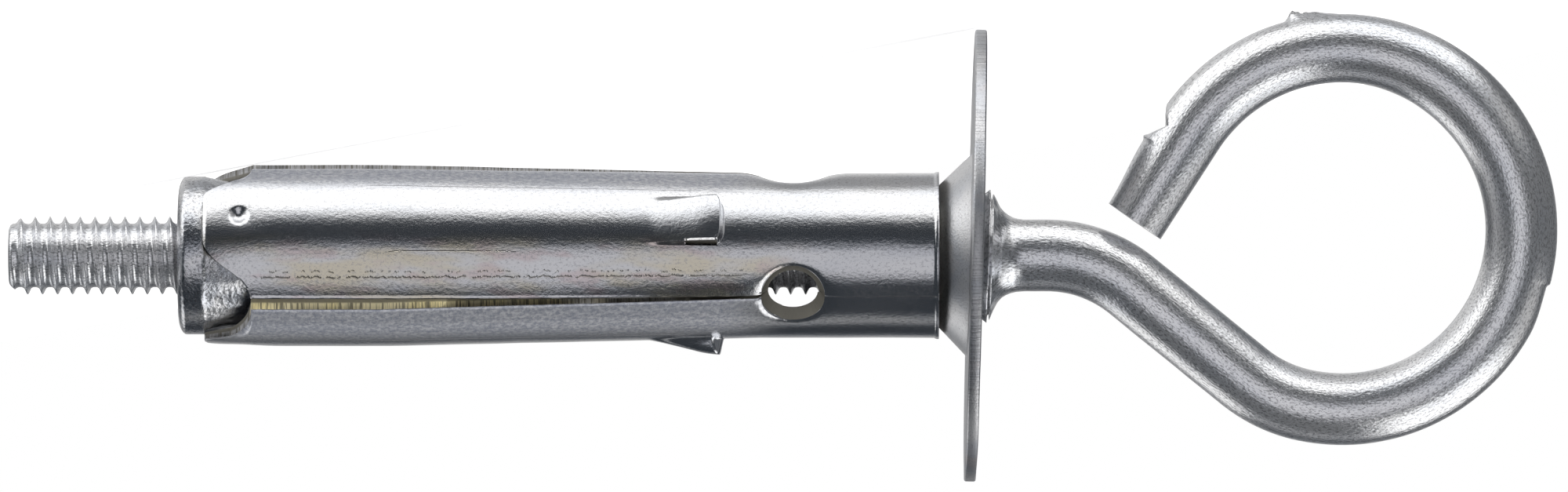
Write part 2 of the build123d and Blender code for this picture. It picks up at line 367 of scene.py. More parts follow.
def laid(bm, name, body, node, finishes):  # a finished piece, put where the frame says
    bmesh.ops.transform(bm, matrix=lie, verts=bm.verts)
    mesh = bpy.data.meshes.new(name)
    for face in bm.faces:
        face.smooth = True
    bm.to_mesh(mesh)
    bm.free()
    for finish in finishes:
        mesh.materials.append(finish)
    piece = bpy.data.objects.new(name, mesh)
    bpy.context.scene.collection.objects.link(piece)
    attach(piece, body)
    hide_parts(node)
    print(name, "has", len(mesh.polygons), "faces")
    return piece


def spinProfile(bm, profile, steps, closed=False):  # places and radii, spun about the axis
    points = [bm.verts.new((x, 0, radius)) for x, radius in profile]
    following = points[1:] + points[:1] if closed else points[1:]
    edges = [bm.edges.new(pair) for pair in zip(points, following)]
    bmesh.ops.spin(
        bm,
        geom=points + edges,
        axis=(1, 0, 0),
        cent=(0, 0, 0),
        angle=2 * pi,
        steps=steps,
        use_merge=True,
    )


def axisReach(spot):  # how far a point is from the axis
    return sqrt(spot.y**2 + spot.z**2)


def flatMeasures(bm, name, measure, radius):  # a measure of each point and its way round, in mm
    layer = bm.loops.layers.uv.new(name)
    for face in bm.faces:
        turns = [atan2(loop.vert.co.y, loop.vert.co.z) for loop in face.loops]
        wrapped = max(turns) - min(turns) > pi
        for loop, turn in zip(face.loops, turns):
            turn += 2 * pi if wrapped and turn < 0 else 0
            loop[layer].uv = (measure(loop.vert.co), turn * radius)


def turnedPoint(x, radius, turn):  # turn 0 faces the photo, 90 is its lower side
    return Vector((x, -radius * sin(radians(turn)), radius * cos(radians(turn))))


# Eye bolt: a straight wire with its thread and collar, then bent
wire = {
    "radius": 2.4,
    "sides": 64,
    "threadStart": -64.2,
    "threadEnd": -6.5,
    "crestRadius": 2.62,
    "rootRadius": 2.13,
    "pitch": 1.0,
    "stepsPerTurn": 40,
    "leadRadius": 1.8,
    "leadLength": 1.1,
    "runout": 0.8,
    "collarPlace": 1.21,
    "collarBefore": 1.0,
    "collarAfter": 2.5,
    "collarLean": 0.035,
    "collarRag": 0.18,
    "bendPlace": 5.178,
    "bendRadius": 9.0,
    "slope": 39.0,
    "entryRadius": 9.5,
    "ringRadius": 12.0,
    "ringReach": 24.9,
    "ringOffset": 1.73,
    "neckInset": 0.25,
    "tailTurn": 147.0,
    "tailLength": 7.15,
    "tailSlant": 1.5,
    "tailEdge": 0.30,
    "biteTurn": 149.9,
    "biteDepth": 0.78,
    "biteBefore": 1.15,
    "biteAfter": 1.27,
    "biteBurr": 0.16,
    "nubTurn": 103.0,
    "nubHeight": 0.62,
    "nubWidth": 0.6,
    "tongueHeight": 0.55,
    "tongueLength": 1.5,
    "scarTurn": -15.2,
    "scarDepth": 0.20,
    "scarLength": 3.0,
    "tailPinch": 0.38,
    "ringThinning": 0.09,
}

# Collar from its foot in the dish, past its feathered rim, to the plain wire: place, radius
collarProfile = [
    (-0.95, 2.4),
    (-0.95, 3.50),
    (-0.38, 4.20),
    (-0.06, 4.50),
    (0.02, 4.62),
    (0.07, 4.60),
    (0.11, 4.05),
    (0.18, 3.95),
    (0.23, 4.42),
    (0.30, 4.30),
    (0.50, 3.72),
    (0.77, 3.18),
    (1.03, 2.90),
    (1.30, 2.70),
    (1.60, 2.54),
    (1.95, 2.45),
    (2.40, 2.4),
]


def wireRuns():  # the path as length, bend radius and turn
    slope = radians(wire["slope"])
    gap = wire["ringRadius"] - wire["neckInset"]
    bend = wire["bendRadius"]
    entry = wire["entryRadius"]
    shift = sqrt((wire["ringRadius"] - entry) ** 2 - (gap - entry) ** 2)
    entryTurn = atan2(shift, gap - entry)
    bendEnd = (wire["bendPlace"] + bend * sin(slope), bend * (cos(slope) - 1))
    entryStart = (
        wire["ringReach"] - gap * sin(slope) + shift * cos(slope),
        wire["ringOffset"] - gap * cos(slope) - shift * sin(slope),
    )
    straight = sqrt((entryStart[0] - bendEnd[0]) ** 2 + (entryStart[1] - bendEnd[1]) ** 2)
    ringStart = radians(270 - wire["slope"]) + entryTurn
    ringTurn = 2 * pi + radians(wire["tailTurn"]) - ringStart
    return [
        (wire["bendPlace"], 0, 0),
        (bend * slope, bend, -slope),
        (straight, 0, 0),
        (entry * entryTurn, entry, entryTurn),
        (wire["ringRadius"] * ringTurn, wire["ringRadius"], ringTurn),
        (2 * wire["tailLength"], 0, 0),
    ]


def bentPlace(runs, spot):  # where a point of the straight wire goes
    rest = spot.x
    heading = 0.0
    start = Vector((0, 0, 0))
    for length, radius, turn in runs:
        ahead = Vector((cos(heading), sin(heading), 0))
        side = Vector((-sin(heading), cos(heading), 0))
        if rest <= length or (length, radius, turn) == runs[-1]:
            break
        if turn:
            centre = start + side * radius * (1 if turn > 0 else -1)
            heading += turn
            newSide = Vector((-sin(heading), cos(heading), 0))
            start = centre - newSide * radius * (1 if turn > 0 else -1)
        else:
            start = start + ahead * length
        rest -= length
    if turn:
        sign = 1 if turn > 0 else -1
        centre = start + side * radius * sign
        heading += turn * rest / length
        side = Vector((-sin(heading), cos(heading), 0))
        start = centre - side * radius * sign
    else:
        start = start + ahead * rest
    return start + side * spot.y + Vector((0, 0, spot.z))


def threadRod(bm):  # rolled thread: one turn repeated along the rod, its tip rounded, its end faded
    crest = wire["crestRadius"]
    root = wire["rootRadius"]
    pitch = wire["pitch"]
    outline = [
        (0.0, crest),
        (0.055, crest - 0.06),
        (0.13, crest - 0.24),
        (0.22, root + 0.10),
        (0.33, root + 0.02),
        (0.5, root),
        (0.67, root + 0.02),
        (0.78, root + 0.10),
        (0.87, crest - 0.24),
        (0.945, crest - 0.06),
        (1.0, crest),
    ]
    start = wire["threadStart"] - 2 * pitch
    points = [bm.verts.new((start + x * pitch, 0, r)) for x, r in outline]
    edges = [bm.edges.new(pair) for pair in zip(points, points[1:])]
    bmesh.ops.spin(
        bm,
        geom=points + edges,
        axis=(1, 0, 0),
        cent=(0, 0, 0),
        dvec=(pitch / wire["stepsPerTurn"], 0, 0),
        angle=2 * pi,
        steps=wire["stepsPerTurn"],
    )
    oneTurn = bm.verts[:] + bm.edges[:] + bm.faces[:]
    for turn in range(1, ceil((wire["threadEnd"] - wire["threadStart"]) / pitch) + 3):
        copied = bmesh.ops.duplicate(bm, geom=oneTurn)["geom"]
        fresh = [item for item in copied if isinstance(item, bmesh.types.BMVert)]
        bmesh.ops.translate(bm, verts=fresh, vec=(turn * pitch, 0, 0))
    bmesh.ops.remove_doubles(bm, verts=bm.verts, dist=0.002)
    for place, side in ((wire["threadStart"], -1), (wire["threadEnd"], 1)):
        bmesh.ops.bisect_plane(
            bm,
            geom=bm.verts[:] + bm.edges[:] + bm.faces[:],
            dist=cutDistance,
            plane_co=(place, 0, 0),
            plane_no=(side, 0, 0),
            clear_outer=True,
        )
    for vert in bm.verts:
        radius = axisReach(vert.co)
        lead = vert.co.x - wire["threadStart"]
        limit = wire["leadRadius"] + (crest - wire["leadRadius"]) * sqrt(
            min(lead / wire["leadLength"], 1.0)
        )
        fade = rise(vert.co.x, wire["threadEnd"] - wire["runout"], wire["threadEnd"])
        rough = 0.018 * noise.noise(vert.co * 2.1)
        wanted = min(radius, limit) * (1 - fade) + wire["radius"] * fade
        wanted += rough * (1 - fade)
        vert.co.y *= wanted / radius
        vert.co.z *= wanted / radius


def openLoop(bm, place):  # boundary edges at a place along the rod
    return [
        edge
        for edge in bm.edges
        if edge.is_boundary and all(abs(vert.co.x - place) < 0.001 for vert in edge.verts)
    ]


def wireMarks(runs):  # where the marks come along the straight wire
    ringEnd = sum(run[0] for run in runs[:5])
    marks = {"ringEnd": ringEnd, "total": ringEnd + wire["tailLength"] + wire["radius"]}
    for mark in ("bite", "nub", "scar"):
        back = radians(wire[mark + "Turn"] - wire["tailTurn"])
        marks[mark] = ringEnd + wire["ringRadius"] * back
    return marks


def inCollar(place):
    return -wire["collarBefore"] < place - wire["collarPlace"] < wire["collarAfter"]


def plainWire(bm, marks):  # with its collar, and rings close together where it is bent or marked
    rings = places(
        spread(wire["threadEnd"], wire["collarPlace"] - 1.2, 1.5),
        spread(wire["collarPlace"] + wire["collarAfter"], wire["bendPlace"], 0.4),
        spread(wire["bendPlace"], marks["total"], 0.42),
        spread(marks["bite"] - 1.5, marks["bite"] + 2.2, 0.11),
        spread(marks["nub"] - 1.2, marks["nub"] + 1.6, 0.11),
        spread(marks["scar"] - 0.8, marks["scar"] + 0.3, 0.11),
    )
    collar = [(wire["collarPlace"] + place, radius) for place, radius in collarProfile]
    plain = [(x, wire["radius"]) for x in rings if not inCollar(x)]
    spinProfile(bm, sorted(plain + collar, key=lambda step: step[0]), wire["sides"])


def cropTail(bm, ringEnd):  # cropped askew, with its edge rounded
    slant = radians(wire["tailSlant"])
    cut = bmesh.ops.bisect_plane(
        bm,
        geom=bm.verts[:] + bm.edges[:] + bm.faces[:],
        dist=cutDistance,
        plane_co=(ringEnd + wire["tailLength"] - wire["radius"] * tan(slant), 0, 0),
        plane_no=(cos(slant), -sin(slant), 0),
        clear_outer=True,
    )
    rim = [item for item in cut["geom_cut"] if isinstance(item, bmesh.types.BMEdge)]
    bmesh.ops.holes_fill(bm, edges=rim, sides=0)
    bmesh.ops.bevel(
        bm,
        geom=rim,
        offset=wire["tailEdge"],
        offset_type="OFFSET",
        segments=4,
        profile=0.5,
        affect="EDGES",
        material=-1,
        clamp_overlap=True,
    )


def ragCollar(spot, radius):  # the upset collar is ragged and leans with the washer
    ragged = abs(noise.noise(Vector((spot.y * 0.5, spot.z * 0.5, spot.x))))
    shrink = 1 - wire["collarRag"] * ragged * (radius - wire["radius"]) / 2.2
    spot.y *= shrink
    spot.z *= shrink
    spot.x += wire["collarLean"] * spot.y


def biteWire(spot, away, outwards):  # the bending tool bit in and pushed up a burr towards the tail
    share = 1 + away / wire["biteBefore"] if away < 0 else 1 - away / wire["biteAfter"]
    level = wire["radius"] - wire["biteDepth"] * max(0.0, share) ** 1.1
    spot.y += max(0.0, -spot.y - level)
    burr = hill(away - wire["biteAfter"] - 0.05, 0.16) * outwards**8
    spot.y -= wire["biteBurr"] * burr * (0.8 + 0.6 * noise.noise(spot * 3))


def runZinc(spot, ahead):  # a lump of zinc that ran to the lowest place, with a tongue behind it
    lump = 0.75 + 0.8 * abs(noise.noise(spot * 2.3))
    front = hill(max(ahead, 0.0), 0.28) * hill(min(ahead, 0.0), 0.55)
    tongue = hill(max(ahead + 0.3, 0.0), 0.3)
    tongue *= wire["tongueHeight"] * hill(min(ahead + 0.3, 0.0), wire["tongueLength"])
    height = wire["nubHeight"] * max(front, tongue) * lump
    spot.y -= height * hill(spot.z, wire["nubWidth"])


def markWire(spot, marks):  # marks of making, put on the wire before it is bent
    radius = axisReach(spot)
    outwards = -spot.y / radius  # 1 on the outside of the ring
    if inCollar(spot.x) and radius > wire["radius"] + 0.01:
        ragCollar(spot, radius)
    away = spot.x - marks["bite"]
    if -1.4 < away < 2.2 and outwards > 0:
        biteWire(spot, away, outwards)
    ahead = spot.x - marks["nub"]
    if abs(ahead) < 2.4 and outwards > 0:
        runZinc(spot, ahead)
    step = spot.x - marks["scar"]
    if -wire["scarLength"] < step < 0.2 and outwards > 0.3:
        # A low step on the ring's outside
        sunk = rise(step, -wire["scarLength"], -0.1) * (1 - rise(step, -0.1, 0.12))
        spot.y += wire["scarDepth"] * sunk * outwards**4
    if outwards > 0:
        # The tool also squeezed the tail, and the bend drew the upper ring thinner
        pinched = rise(spot.x, marks["bite"] + 1.4, marks["total"] - 2.4)
        spot.y += wire["tailPinch"] * pinched * outwards
    else:
        thinned = rise(spot.x, marks["ringEnd"] - 23.0, marks["ringEnd"] - 12.0)
        spot.y *= 1 - wire["ringThinning"] * thinned
    if wire["collarPlace"] + 2.4 < spot.x < marks["total"] - 0.5:
        spot.y *= 1 + 0.004 * noise.noise(spot * 0.6)


def makeEyeBolt(finish):
    runs = wireRuns()
    marks = wireMarks(runs)
    bm = bmesh.new()
    threadRod(bm)
    tip = openLoop(bm, wire["threadStart"])
    bmesh.ops.holes_fill(bm, edges=tip, sides=0)
    plainWire(bm, marks)
    bothLoops = openLoop(bm, wire["threadEnd"])
    bmesh.ops.bridge_loops(bm, edges=bothLoops)
    cropTail(bm, marks["ringEnd"])

    # Measures along and around the straight wire, for the drawn grain
    flatMeasures(bm, "drawn", lambda spot: spot.x, wire["radius"])
    for vert in bm.verts:
        if axisReach(vert.co) > 0.01:
            markWire(vert.co, marks)
    for vert in bm.verts:
        vert.co = bentPlace(runs, vert.co)
    bmesh.ops.remove_doubles(bm, verts=bm.verts, dist=mergeDistance)
    bmesh.ops.recalc_face_normals(bm, faces=bm.faces)
    return laid(bm, "eyeBolt", "eye", "eye_bolt", [finish])


# Washer: one profile spun about the axis; it sits a little askew in the sleeve's mouth
disc = {
    "radius": 15.1,
    "thickness": 0.79,
    "dishRadius": 6.8,
    "bend": 0.7,
    "hole": 2.9,
    "rimEdge": 0.14,
    "steps": 192,
    "wave": 0.03,
    "lean": 1.45,
}


def makeWasher(finish):
    bm = bmesh.new()
    thick = disc["thickness"]
    outer = disc["radius"]
    dish = disc["dishRadius"]
    hole = disc["hole"]
    inner = dish - thick * tan(radians(22.5))
    bend = disc["bend"] * tan(radians(22.5))
    rim = outer - disc["rimEdge"]
    # From the wall face's bend down the dish, round its edge, and back out over the other face
    profile = [(0.0, dish + 0.05), (-0.01, dish), (-0.05, dish - 0.05)]
    profile += [(r - dish, r) for r in spread(dish - 0.35, hole + 0.08, 0.6)]
    profile += [(hole - dish, hole), (hole - dish + 0.04, hole), (hole - dish + thick, hole)]
    profile += [(hole - dish + thick * sqrt(2), hole)]
    profile += [(r - inner + thick, r) for r in spread(hole + 0.08, inner - bend - 0.05, 0.6)]
    for share in spread(0, 1, 0.2):
        angle = radians(45 * share)
        place = thick - disc["bend"] * (1 - cos(radians(45) - angle))
        profile.append((place, inner + bend * (2 * share - 1)))
    profile += [(thick, r) for r in spread(inner + bend + 0.06, rim, 0.9)]
    profile += [(thick - 0.04, outer - 0.04), (thick - 0.12, outer)]
    profile += [(0.12, outer), (0.04, outer - 0.04)]
    profile += [(0.0, r) for r in spread(rim, dish + 0.35, 0.9)]
    spinProfile(bm, profile, disc["steps"], closed=True)
    bmesh.ops.remove_doubles(bm, verts=bm.verts, dist=mergeDistance)
    for vert in bm.verts:
        reach = axisReach(vert.co)
        if reach > dish:
            turn = atan2(vert.co.y, vert.co.z)
            wave = noise.noise(Vector((cos(turn), sin(turn), 0)) * 2)
            vert.co.x += disc["wave"] * rise(reach, dish, outer) * wave
    # Measures out from the middle and round the disc, for its rim
    flatMeasures(bm, "disc", axisReach, outer)
    lean = Matrix.Rotation(radians(-disc["lean"]), 3, "Z")
    bmesh.ops.rotate(bm, verts=bm.verts, cent=(0, 0, 0), matrix=lean)
    bmesh.ops.recalc_face_normals(bm, faces=bm.faces)
    return laid(bm, "dishedWasher", "washer", "washer", [finish])


# Expansion sleeve: a flat blank is cut, pressed and rolled, as the real one is
sleeve = {
    "sheet": 0.73,
    "mouthRadius": 5.5,
    "legRadius": 6.05,
    "mouthPlace": -2.058,
    "legEnd": -51.1,
    "endEdge": 0.24,
    "taperStart": -14.0,
    "taperEnd": -39.0,
    "firstSlit": 30.0,
    "legCount": 3,
    "burrSideStart": 0.04,
    "burrSideEnd": 0.28,
    "rollSideStart": 0.10,
    "rollSideEnd": 0.92,
    "rollDrop": 0.26,
    "shearWidth": 0.72,
    "holePlace": -11.8,
    "holeRadius": 2.12,
    "holeDraw": 0.45,
    "holeDish": 0.18,
    "holeDishWidth": 0.8,
    "holeDishElsewhere": 0.25,
    "holeLip": 0.09,
    "holeLipWidth": 0.18,
    "cornerLength": 3.2,
    "seamGap": 0.14,
    "lipHeight": 0.07,
    "lipLength": 0.3,
    "noseStart": -21.4,
    "noseEnd": -16.4,
    "noseTop": 0.9,
    "noseHeight": 1.08,
    "noseLow": -11.0,
    "noseHigh": 22.6,
    "noseWall": 0.5,
    "tearStart": -18.95,
    "tearEnd": -16.85,
    "tearLow": 20.9,
    "tearHigh": 22.4,
    "markPlace": -48.68,
    "markTurn": 3.0,
    "markFloor": 0.10,
    "markRadius": 0.78,
    "markDepth": 0.3,
    "markDimple": 0.11,
    "markSpread": 1.4,
    "edgeRound": 0.09,
    "rimDrop": 0.07,
    "endBow": 0.24,
    "burrHeight": 0.09,
    "restSlit": 270.0,
    "flatten": 0.22,
    "flattenFrom": 20.0,
    "flattenSpan": 38.0,
    "fullSpan": 57.5,
}
slitStart = sleeve["legEnd"] + sleeve["cornerLength"]  # where a notch narrows into its slit
legTurn = 360 / sleeve["legCount"]
seamSlit = sleeve["firstSlit"] + legTurn * (sleeve["legCount"] - 1)  # the sheet's ends meet here


def sleeveRadius(place):  # outside radius along the sleeve
    taper = (place - sleeve["taperStart"]) / (sleeve["taperEnd"] - sleeve["taperStart"])
    grow = sleeve["legRadius"] - sleeve["mouthRadius"]
    return sleeve["mouthRadius"] + grow * min(max(taper, 0), 1)


# Leg corners at a notch, as bezier runs of (distance from the leg's end, half width cut away)
burrCorner = [
    [(0.0, 4.0), (0.0, 3.35), (0.92, 2.62), (1.6, 2.2)],
    [(1.6, 2.2), (2.28, 1.78), (3.15, 1.15), (sleeve["cornerLength"], sleeve["burrSideEnd"])],
]
rollCorner = [
    [(0.0, 4.4), (0.2, 3.95), (1.2, 3.75), (1.9, 3.35)],
    [(1.9, 3.35), (2.6, 2.95), (3.12, 2.5), (sleeve["cornerLength"], sleeve["rollSideEnd"])],
]


def cornerPoints(corner):
    points = []
    for run in corner:
        knots = [Vector((sleeve["legEnd"] + ahead, cut, 0)) for ahead, cut in run]
        points += interpolate_bezier(*knots, 18)
    return points


def cutAt(points, place):  # half width cut away at a place along a corner
    for first, second in zip(points, points[1:]):
        if first.x <= place <= second.x and second.x > first.x:
            return first.y + (second.y - first.y) * (place - first.x) / (second.x - first.x)
    return points[0].y if place < points[0].x else points[-1].y


def cutStations():  # place along a leg, with the half widths cut away at its two slits
    # The slits were sheared: one side keeps a sharp burr, the other is drawn down and slopes inwards
    burrPoints = cornerPoints(burrCorner)
    rollPoints = cornerPoints(rollCorner)
    ends = places([point.x for point in burrPoints], [point.x for point in rollPoints])
    stations = [(place, cutAt(rollPoints, place), cutAt(burrPoints, place)) for place in ends]
    tight = asin(sleeve["rollSideStart"] / sleeve["holeRadius"])
    holeStart = sleeve["holePlace"] - sleeve["holeRadius"] * cos(tight)
    nose = sleeve["noseEnd"]
    straight = places(
        spread(slitStart + 0.15, sleeve["noseStart"] - 0.3, 0.7),
        spread(sleeve["noseStart"] - 0.3, nose - 0.3, 0.3),
        spread(sleeve["tearStart"], sleeve["tearEnd"], 0.3),
        spread(nose - 1.0, nose - 0.36, 0.07),
        spread(nose - 0.32, nose + 0.06, 0.04),
        spread(nose + 0.06, holeStart - 0.2, 0.4),
    )
    for place in straight:
        opened = min((place - sleeve["holePlace"]) / (sleeve["taperEnd"] - sleeve["holePlace"]), 1)
        wave = 0.025 * noise.noise(Vector((place * 1.3, 0, 0)))
        burrSide = sleeve["burrSideStart"]
        burrSide += (sleeve["burrSideEnd"] - sleeve["burrSideStart"]) * opened
        rollSide = sleeve["rollSideStart"]
        rollSide += (sleeve["rollSideEnd"] - sleeve["rollSideStart"]) * opened
        stations.append((place, rollSide + wave, burrSide + wave))
    for share in spread(0, 1, 1 / 30):
        angle = tight + (pi - tight) * share
        half = sleeve["holeRadius"] * sin(angle)
        stations.append((sleeve["holePlace"] - sleeve["holeRadius"] * cos(angle), half, half))
    lip = sleeve["mouthPlace"] - sleeve["lipLength"]
    mouth = places(
        spread(stations[-1][0] + 0.3, lip - 0.1, 0.6),
        spread(lip - 0.1, sleeve["mouthPlace"], 0.08),
    )
    return stations + [(place, 0.0, 0.0) for place in mouth]


def legColumns():  # angles across a leg at full width, close together where it is pressed
    span = sleeve["fullSpan"]
    low = sleeve["noseLow"]
    high = sleeve["noseHigh"]
    return places(
        spread(-span, -span + 3.2, 0.8),
        spread(-span + 3.2, -30, 2.7),
        spread(-30, low - 4, 3.5),
        spread(low - 4, low + 4, 0.9),
        spread(low + 4, 14, 1.3),
        spread(14, sleeve["tearLow"] - 0.6, 2.0),
        [sleeve["tearLow"] - 0.3, sleeve["tearLow"], sleeve["tearHigh"], sleeve["tearHigh"] + 0.3],
        spread(sleeve["tearHigh"] + 0.6, high + 3, 0.9),
        spread(high + 3, 36, 3.5),
        spread(36, span - 3.2, 2.7),
        spread(span - 3.2, span, 0.8),
    )


def noseLift(place, turn, wall):  # how far a nose stands out; wall draws it in for the hollow
    start = sleeve["noseStart"] + wall
    end = sleeve["noseEnd"] - wall
    low = sleeve["noseLow"] + degrees(wall / sleeve["mouthRadius"])
    high = sleeve["noseHigh"] - degrees(wall / sleeve["mouthRadius"])
    ramp = max((place - start) / (end - sleeve["noseTop"] - start), 0)
    if ramp > 0.75:  # the top rolls over smoothly
        over = min((ramp - 0.75) / 0.5, 1)
        ramp = 0.75 + 0.25 * (1 - (1 - over) ** 2)
    aside = abs(2 * turn - low - high) / (high - low)
    back = 0.55 * min(aside, 1) ** 5  # the front's corners are rounded
    front = 1 - rise(place, end - back - 0.30, end - back + 0.03)
    torn = rise(place, sleeve["tearStart"] - 0.2, sleeve["tearStart"] + 0.2)
    wide = 1.8 if wall else 1.8 - 1.0 * torn
    sides = rise(turn, low - 3.4, low + 3.4) * (1 - rise(turn, high - wide, high + wide * 0.4))
    return sleeve["noseHeight"] * ramp**1.1 * front * sides


def besideRest(turn):  # whether a slit at this side is the one the sleeve rests on
    away = abs((turn - sleeve["restSlit"] + 180) % 360 - 180)
    return away < legTurn / 2


def pressedHeight(place, turn, middle, inner):  # height of the sheet's face after pressing
    wall = sleeve["noseWall"] if inner else 0
    height = noseLift(place, turn, wall)
    radius = sleeveRadius(place)
    reach = Vector((place - sleeve["markPlace"], radians(turn - sleeve["markTurn"]) * radius)).length
    height -= sleeve["markDepth"] * (1 - rise(reach, sleeve["markFloor"], sleeve["markRadius"]))
    height -= sleeve["markDimple"] * hill(reach, sleeve["markSpread"])

    # The punch drew the sheet down round each relief hole
    aside = radians(legTurn / 2 - abs(turn)) * radius
    outside = Vector((place - sleeve["holePlace"], aside)).length - sleeve["holeRadius"]
    resting = besideRest(turn + middle)
    dish = sleeve["holeDish"] * (1.0 if resting else sleeve["holeDishElsewhere"])
    height -= dish * hill(max(outside, 0.0), sleeve["holeDishWidth"])
    height -= sleeve["holeLip"] * hill(max(outside, 0.0), sleeve["holeLipWidth"])
    if not resting:
        # Beside the slits it doesn't rest on, a leg's burred side is flatter than its middle
        spreadOut = 1 - rise(place, sleeve["taperEnd"] + 10, sleeve["holePlace"] - 1)
        share = max((turn - sleeve["flattenFrom"]) / sleeve["flattenSpan"], 0.0)
        height += sleeve["flatten"] * share**2 * spreadOut
    if not inner:
        mouth = sleeve["mouthPlace"]
        lip = rise(place, mouth - sleeve["lipLength"], mouth - 0.18)
        around = turnedPoint(0, 2.5, turn + middle)
        height += sleeve["lipHeight"] * lip * (1 + 0.8 * noise.noise(around))
        height += 0.02 * noise.noise(turnedPoint(place * 0.35, 1.5, turn + middle))
    return height


def cutBlank(bm, layers):  # a flat grid for each leg, cut to its outline
    stations = cutStations()
    columns = legColumns()
    for leg in range(sleeve["legCount"]):
        turn = sleeve["firstSlit"] + legTurn * (leg + 0.5)
        slits = [turn - legTurn / 2, turn + legTurn / 2]
        seams = [abs(slit - seamSlit) % 360 < 1 for slit in slits]
        grid = bmesh.ops.create_grid(
            bm, x_segments=len(stations) - 1, y_segments=len(columns) - 1, size=1.0
        )["verts"]
        for vert in grid:
            row = round((vert.co.x + 1) / 2 * (len(stations) - 1))
            column = round((vert.co.y + 1) / 2 * (len(columns) - 1))
            share = columns[column] / sleeve["fullSpan"]
            side = 0 if share < 0 else 1
            place = stations[row][0]
            cut = stations[row][1 + side]
            if seams[side] and place > sleeve["holePlace"]:
                cut = max(cut, sleeve["seamGap"] / 2)
            half = legTurn / 2 - degrees(asin(cut / sleeveRadius(place)))
            # x is the place along the sleeve, y the angle across the blank, z the leg's middle
            vert.co = (place, turn + share * half, turn)
            fromHole = place - sleeve["holePlace"]
            vert[layers["rollSide"]] = -share if fromHole < -1 else 0
            vert[layers["holeRim"]] = abs(share) == 1 and abs(fromHole) < sleeve["holeRadius"]


def tearNoses(bm):  # the slot where the punch tore each nose
    torn = []
    for face in bm.faces:
        middle = face.calc_center_median()
        own = middle.y - middle.z
        if sleeve["tearStart"] < middle.x < sleeve["tearEnd"]:
            if sleeve["tearLow"] - 0.4 < own < sleeve["tearHigh"] + 0.4:
                torn.append(face)
    bmesh.ops.delete(bm, geom=torn, context="FACES")


def thickenBlank(bm, layers):  # adds the sheet's other face and cut walls, gives back their rims
    for vert in bm.verts:
        vert[layers["legTurn"]] = vert.co.z
        vert.co.z = 0
    doubles = [vert for vert in bm.verts if vert.co.x > sleeve["holePlace"]]
    bmesh.ops.remove_doubles(bm, verts=doubles, dist=0.002)
    lower = bmesh.ops.extrude_face_region(bm, geom=bm.faces[:], use_keep_orig=True)["geom"]
    for vert in [item for item in lower if isinstance(item, bmesh.types.BMVert)]:
        vert.co.z = -1
    for face in bm.faces:
        if 0.1 < abs(face.calc_center_median().z) < 0.9:
            face.material_index = 1
    return [
        edge
        for edge in bm.edges
        if len(edge.link_faces) == 2
        and {face.material_index for face in edge.link_faces} == {0, 1}
    ]


def measureBlank(bm, layers):  # mm along and across the blank, and degrees from each leg's middle
    for face in bm.faces:
        for loop in face.loops:
            spot = loop.vert.co
            across = radians(spot.y - seamSlit) * sleeveRadius(spot.x)
            depth = spot.z * sleeve["sheet"] if face.material_index else 0
            loop[layers["blank"]].uv = (spot.x, across + depth)
            loop[layers["own"]].uv = (spot.y - loop.vert[layers["legTurn"]], -spot.z)


def rolledPlace(vert, layers):  # where a point of the blank goes when it is pressed and rolled
    place, turn, depth = vert.co
    inner = depth < -0.5
    middle = vert[layers["legTurn"]]
    edge = vert[layers["rollSide"]]  # 1 at the drawn side of a leg, -1 at its sharp side
    height = pressedHeight(place, turn - middle, middle, inner)
    radius = sleeveRadius(place)
    opened = rise(place, slitStart - 1.5, slitStart)
    opened *= 1 - 0.85 * rise(place, sleeve["taperEnd"], sleeve["holePlace"] - 2)
    if inner:
        turn -= degrees(sleeve["shearWidth"] * (rise(edge, 0.90, 1.0) * opened) / radius)
        height -= sleeve["sheet"]
        if vert[layers["holeRim"]]:
            # The hole's wall leans in, so its inner rim is smaller
            slit = legTurn / 2 * (1 if turn > middle else -1) + middle
            small = 1 - sleeve["holeDraw"] / sleeve["holeRadius"]
            place = sleeve["holePlace"] + (place - sleeve["holePlace"]) * small
            turn = slit + (turn - slit) * small
    else:
        height -= sleeve["rollDrop"] * rise(edge, 0.80, 1.02) * opened
        ahead = place - sleeve["legEnd"]
        rim = max(rise(edge, 0.968, 1.0), 1 - rise(ahead, -0.02, sleeve["endEdge"]))
        height -= sleeve["rimDrop"] * rim
        height -= sleeve["endBow"] * max(1 - ahead / sleeve["cornerLength"], 0) ** 2
        if not besideRest(turn):
            # The shear left a wavy burr along each leg's sharp side
            wavy = 0.6 + noise.noise(Vector((place * 1.1, 0, turn)))
            height += sleeve["burrHeight"] * wavy * rise(-edge, 0.965, 1.0) * opened
    return turnedPoint(place, radius + height, turn)


def makeSleeve(sheetFinish, shearFinish):
    bm = bmesh.new()
    layers = {name: bm.loops.layers.uv.new(name) for name in ("blank", "own")}
    for name in ("legTurn", "rollSide", "holeRim"):
        layers[name] = bm.verts.layers.float.new(name)
    cutBlank(bm, layers)
    tearNoses(bm)
    rims = thickenBlank(bm, layers)
    measureBlank(bm, layers)
    for vert in bm.verts:
        vert.co = rolledPlace(vert, layers)
    bmesh.ops.bevel(
        bm,
        geom=rims,
        offset=sleeve["edgeRound"],
        offset_type="OFFSET",
        segments=2,
        profile=0.5,
        affect="EDGES",
        material=0,
        clamp_overlap=True,
    )
    bmesh.ops.recalc_face_normals(bm, faces=bm.faces)
    finishes = [sheetFinish, shearFinish]
    return laid(bm, "expansionSleeve", "sleeve", "expansion_sleeve", finishes)


